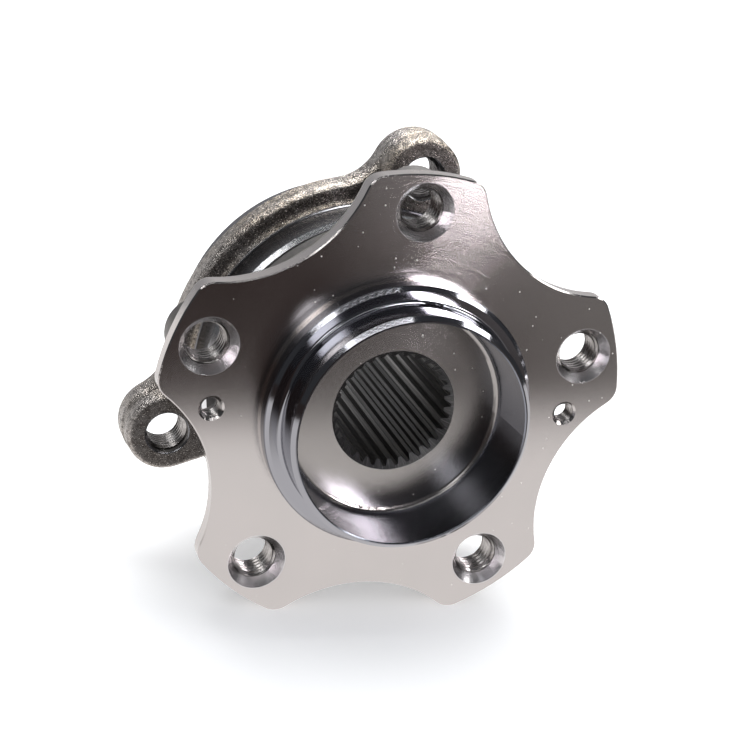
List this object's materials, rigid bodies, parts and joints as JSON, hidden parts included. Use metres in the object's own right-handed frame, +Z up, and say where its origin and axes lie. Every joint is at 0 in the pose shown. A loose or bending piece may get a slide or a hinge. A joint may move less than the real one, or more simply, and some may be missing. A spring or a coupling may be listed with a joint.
{
  "type": "wheel hub bearing",
  "caption": "Flanged wheel hub on a sealed double-row ball bearing: lobed wheel flange with threaded holes, centring pilot, splined bore, lugged outer ring.",
  "frame": {"origin": "on the bearing axis, in the face of the wheel flange that the brake disc and wheel seat on", "axes": "+Y along the bearing axis from the wheel side to the axle side, +Z up through one wheel-bolt hole, +X to the right seen from the wheel side"},
  "size_m": [0.1319, 0.0853, 0.1294],
  "materials": {
    "hub_steel": "fine turned and ground steel",
    "forged_steel": "shot-blasted forging, machined where it fits",
    "race_steel": "ground bearing steel",
    "ball_steel": "lapped bearing steel",
    "seal_steel": "pressed sheet steel",
    "cage_nylon": "glass-filled nylon, natural",
    "seal_rubber": "moulded black rubber",
    "encoder_rubber": "magnetised rubber"
  },
  "bodies": {
    "outer": {"outer_ring": "forged_steel", "outboard_seal_case": "seal_steel", "outboard_seal_lip": "seal_rubber", "inboard_seal_case": "seal_steel", "inboard_seal_lip": "seal_rubber"},
    "hub": {"hub_flange": "hub_steel", "inner_ring": "race_steel", "inboard_slinger": "seal_steel", "encoder_ring": "encoder_rubber"},
    "outboard_row": {"outboard_cage": "cage_nylon"},
    "inboard_row": {"inboard_cage": "cage_nylon"},
    "outboard_ball_01": {"outboard_ball_01": "ball_steel"},
    "outboard_ball_02": {"outboard_ball_02": "ball_steel"},
    "outboard_ball_03": {"outboard_ball_03": "ball_steel"},
    "outboard_ball_04": {"outboard_ball_04": "ball_steel"},
    "outboard_ball_05": {"outboard_ball_05": "ball_steel"},
    "outboard_ball_06": {"outboard_ball_06": "ball_steel"},
    "outboard_ball_07": {"outboard_ball_07": "ball_steel"},
    "outboard_ball_08": {"outboard_ball_08": "ball_steel"},
    "outboard_ball_09": {"outboard_ball_09": "ball_steel"},
    "outboard_ball_10": {"outboard_ball_10": "ball_steel"},
    "outboard_ball_11": {"outboard_ball_11": "ball_steel"},
    "outboard_ball_12": {"outboard_ball_12": "ball_steel"},
    "outboard_ball_13": {"outboard_ball_13": "ball_steel"},
    "outboard_ball_14": {"outboard_ball_14": "ball_steel"},
    "inboard_ball_01": {"inboard_ball_01": "ball_steel"},
    "inboard_ball_02": {"inboard_ball_02": "ball_steel"},
    "inboard_ball_03": {"inboard_ball_03": "ball_steel"},
    "inboard_ball_04": {"inboard_ball_04": "ball_steel"},
    "inboard_ball_05": {"inboard_ball_05": "ball_steel"},
    "inboard_ball_06": {"inboard_ball_06": "ball_steel"},
    "inboard_ball_07": {"inboard_ball_07": "ball_steel"},
    "inboard_ball_08": {"inboard_ball_08": "ball_steel"},
    "inboard_ball_09": {"inboard_ball_09": "ball_steel"},
    "inboard_ball_10": {"inboard_ball_10": "ball_steel"},
    "inboard_ball_11": {"inboard_ball_11": "ball_steel"},
    "inboard_ball_12": {"inboard_ball_12": "ball_steel"},
    "inboard_ball_13": {"inboard_ball_13": "ball_steel"},
    "inboard_ball_14": {"inboard_ball_14": "ball_steel"}
  },
  "joints": [
    {"name": "hub_spin", "type": "hinge", "parent": "outer", "child": "hub", "pos_m": [0, 0, 0], "axis": [0, 1, 0], "continuous": true},
    {"name": "outboard_row_orbit", "type": "hinge", "parent": "outer", "child": "outboard_row", "pos_m": [0, 0.0354, 0], "axis": [0, 1, 0], "continuous": true},
    {"name": "inboard_row_orbit", "type": "hinge", "parent": "outer", "child": "inboard_row", "pos_m": [0, 0.052, 0], "axis": [0, 1, 0], "continuous": true},
    {"name": "outboard_ball_01_spin", "type": "hinge", "parent": "outboard_row", "child": "outboard_ball_01", "pos_m": [0, 0.0354, 0.035], "axis": [0, 0.788, -0.6157], "continuous": true},
    {"name": "outboard_ball_02_spin", "type": "hinge", "parent": "outboard_row", "child": "outboard_ball_02", "pos_m": [-0.01519, 0.0354, 0.03153], "axis": [0.2671, 0.788, -0.5547], "continuous": true},
    {"name": "outboard_ball_03_spin", "type": "hinge", "parent": "outboard_row", "child": "outboard_ball_03", "pos_m": [-0.02736, 0.0354, 0.02182], "axis": [0.4813, 0.788, -0.3839], "continuous": true},
    {"name": "outboard_ball_04_spin", "type": "hinge", "parent": "outboard_row", "child": "outboard_ball_04", "pos_m": [-0.03412, 0.0354, 0.00779], "axis": [0.6002, 0.788, -0.137], "continuous": true},
    {"name": "outboard_ball_05_spin", "type": "hinge", "parent": "outboard_row", "child": "outboard_ball_05", "pos_m": [-0.03412, 0.0354, -0.00779], "axis": [0.6002, 0.788, 0.137], "continuous": true},
    {"name": "outboard_ball_06_spin", "type": "hinge", "parent": "outboard_row", "child": "outboard_ball_06", "pos_m": [-0.02736, 0.0354, -0.02182], "axis": [0.4813, 0.788, 0.3839], "continuous": true},
    {"name": "outboard_ball_07_spin", "type": "hinge", "parent": "outboard_row", "child": "outboard_ball_07", "pos_m": [-0.01519, 0.0354, -0.03153], "axis": [0.2671, 0.788, 0.5547], "continuous": true},
    {"name": "outboard_ball_08_spin", "type": "hinge", "parent": "outboard_row", "child": "outboard_ball_08", "pos_m": [0, 0.0354, -0.035], "axis": [0, 0.788, 0.6157], "continuous": true},
    {"name": "outboard_ball_09_spin", "type": "hinge", "parent": "outboard_row", "child": "outboard_ball_09", "pos_m": [0.01519, 0.0354, -0.03153], "axis": [-0.2671, 0.788, 0.5547], "continuous": true},
    {"name": "outboard_ball_10_spin", "type": "hinge", "parent": "outboard_row", "child": "outboard_ball_10", "pos_m": [0.02736, 0.0354, -0.02182], "axis": [-0.4813, 0.788, 0.3839], "continuous": true},
    {"name": "outboard_ball_11_spin", "type": "hinge", "parent": "outboard_row", "child": "outboard_ball_11", "pos_m": [0.03412, 0.0354, -0.00779], "axis": [-0.6002, 0.788, 0.137], "continuous": true},
    {"name": "outboard_ball_12_spin", "type": "hinge", "parent": "outboard_row", "child": "outboard_ball_12", "pos_m": [0.03412, 0.0354, 0.00779], "axis": [-0.6002, 0.788, -0.137], "continuous": true},
    {"name": "outboard_ball_13_spin", "type": "hinge", "parent": "outboard_row", "child": "outboard_ball_13", "pos_m": [0.02736, 0.0354, 0.02182], "axis": [-0.4813, 0.788, -0.3839], "continuous": true},
    {"name": "outboard_ball_14_spin", "type": "hinge", "parent": "outboard_row", "child": "outboard_ball_14", "pos_m": [0.01519, 0.0354, 0.03153], "axis": [-0.2671, 0.788, -0.5547], "continuous": true},
    {"name": "inboard_ball_01_spin", "type": "hinge", "parent": "inboard_row", "child": "inboard_ball_01", "pos_m": [-0.00779, 0.052, 0.03412], "axis": [-0.137, 0.788, 0.6002], "continuous": true},
    {"name": "inboard_ball_02_spin", "type": "hinge", "parent": "inboard_row", "child": "inboard_ball_02", "pos_m": [-0.02182, 0.052, 0.02736], "axis": [-0.3839, 0.788, 0.4813], "continuous": true},
    {"name": "inboard_ball_03_spin", "type": "hinge", "parent": "inboard_row", "child": "inboard_ball_03", "pos_m": [-0.03153, 0.052, 0.01519], "axis": [-0.5547, 0.788, 0.2671], "continuous": true},
    {"name": "inboard_ball_04_spin", "type": "hinge", "parent": "inboard_row", "child": "inboard_ball_04", "pos_m": [-0.035, 0.052, 0], "axis": [-0.6157, 0.788, 0], "continuous": true},
    {"name": "inboard_ball_05_spin", "type": "hinge", "parent": "inboard_row", "child": "inboard_ball_05", "pos_m": [-0.03153, 0.052, -0.01519], "axis": [-0.5547, 0.788, -0.2671], "continuous": true},
    {"name": "inboard_ball_06_spin", "type": "hinge", "parent": "inboard_row", "child": "inboard_ball_06", "pos_m": [-0.02182, 0.052, -0.02736], "axis": [-0.3839, 0.788, -0.4813], "continuous": true},
    {"name": "inboard_ball_07_spin", "type": "hinge", "parent": "inboard_row", "child": "inboard_ball_07", "pos_m": [-0.00779, 0.052, -0.03412], "axis": [-0.137, 0.788, -0.6002], "continuous": true},
    {"name": "inboard_ball_08_spin", "type": "hinge", "parent": "inboard_row", "child": "inboard_ball_08", "pos_m": [0.00779, 0.052, -0.03412], "axis": [0.137, 0.788, -0.6002], "continuous": true},
    {"name": "inboard_ball_09_spin", "type": "hinge", "parent": "inboard_row", "child": "inboard_ball_09", "pos_m": [0.02182, 0.052, -0.02736], "axis": [0.3839, 0.788, -0.4813], "continuous": true},
    {"name": "inboard_ball_10_spin", "type": "hinge", "parent": "inboard_row", "child": "inboard_ball_10", "pos_m": [0.03153, 0.052, -0.01519], "axis": [0.5547, 0.788, -0.2671], "continuous": true},
    {"name": "inboard_ball_11_spin", "type": "hinge", "parent": "inboard_row", "child": "inboard_ball_11", "pos_m": [0.035, 0.052, 0], "axis": [0.6157, 0.788, 0], "continuous": true},
    {"name": "inboard_ball_12_spin", "type": "hinge", "parent": "inboard_row", "child": "inboard_ball_12", "pos_m": [0.03153, 0.052, 0.01519], "axis": [0.5547, 0.788, 0.2671], "continuous": true},
    {"name": "inboard_ball_13_spin", "type": "hinge", "parent": "inboard_row", "child": "inboard_ball_13", "pos_m": [0.02182, 0.052, 0.02736], "axis": [0.3839, 0.788, 0.4813], "continuous": true},
    {"name": "inboard_ball_14_spin", "type": "hinge", "parent": "inboard_row", "child": "inboard_ball_14", "pos_m": [0.00779, 0.052, 0.03412], "axis": [0.137, 0.788, 0.6002], "continuous": true}
  ],
  "couplings": [
    {"joint": "outboard_row_orbit", "follows": "hub_spin", "ratio": 0.42852},
    {"joint": "inboard_row_orbit", "follows": "hub_spin", "ratio": 0.42852},
    {"joint": "outboard_ball_01_spin", "follows": "hub_spin", "ratio": -2.6996},
    {"joint": "outboard_ball_02_spin", "follows": "hub_spin", "ratio": -2.6996},
    {"joint": "outboard_ball_03_spin", "follows": "hub_spin", "ratio": -2.6996},
    {"joint": "outboard_ball_04_spin", "follows": "hub_spin", "ratio": -2.6996},
    {"joint": "outboard_ball_05_spin", "follows": "hub_spin", "ratio": -2.6996},
    {"joint": "outboard_ball_06_spin", "follows": "hub_spin", "ratio": -2.6996},
    {"joint": "outboard_ball_07_spin", "follows": "hub_spin", "ratio": -2.6996},
    {"joint": "outboard_ball_08_spin", "follows": "hub_spin", "ratio": -2.6996},
    {"joint": "outboard_ball_09_spin", "follows": "hub_spin", "ratio": -2.6996},
    {"joint": "outboard_ball_10_spin", "follows": "hub_spin", "ratio": -2.6996},
    {"joint": "outboard_ball_11_spin", "follows": "hub_spin", "ratio": -2.6996},
    {"joint": "outboard_ball_12_spin", "follows": "hub_spin", "ratio": -2.6996},
    {"joint": "outboard_ball_13_spin", "follows": "hub_spin", "ratio": -2.6996},
    {"joint": "outboard_ball_14_spin", "follows": "hub_spin", "ratio": -2.6996},
    {"joint": "inboard_ball_01_spin", "follows": "hub_spin", "ratio": -2.6996},
    {"joint": "inboard_ball_02_spin", "follows": "hub_spin", "ratio": -2.6996},
    {"joint": "inboard_ball_03_spin", "follows": "hub_spin", "ratio": -2.6996},
    {"joint": "inboard_ball_04_spin", "follows": "hub_spin", "ratio": -2.6996},
    {"joint": "inboard_ball_05_spin", "follows": "hub_spin", "ratio": -2.6996},
    {"joint": "inboard_ball_06_spin", "follows": "hub_spin", "ratio": -2.6996},
    {"joint": "inboard_ball_07_spin", "follows": "hub_spin", "ratio": -2.6996},
    {"joint": "inboard_ball_08_spin", "follows": "hub_spin", "ratio": -2.6996},
    {"joint": "inboard_ball_09_spin", "follows": "hub_spin", "ratio": -2.6996},
    {"joint": "inboard_ball_10_spin", "follows": "hub_spin", "ratio": -2.6996},
    {"joint": "inboard_ball_11_spin", "follows": "hub_spin", "ratio": -2.6996},
    {"joint": "inboard_ball_12_spin", "follows": "hub_spin", "ratio": -2.6996},
    {"joint": "inboard_ball_13_spin", "follows": "hub_spin", "ratio": -2.6996},
    {"joint": "inboard_ball_14_spin", "follows": "hub_spin", "ratio": -2.6996}
  ]
}
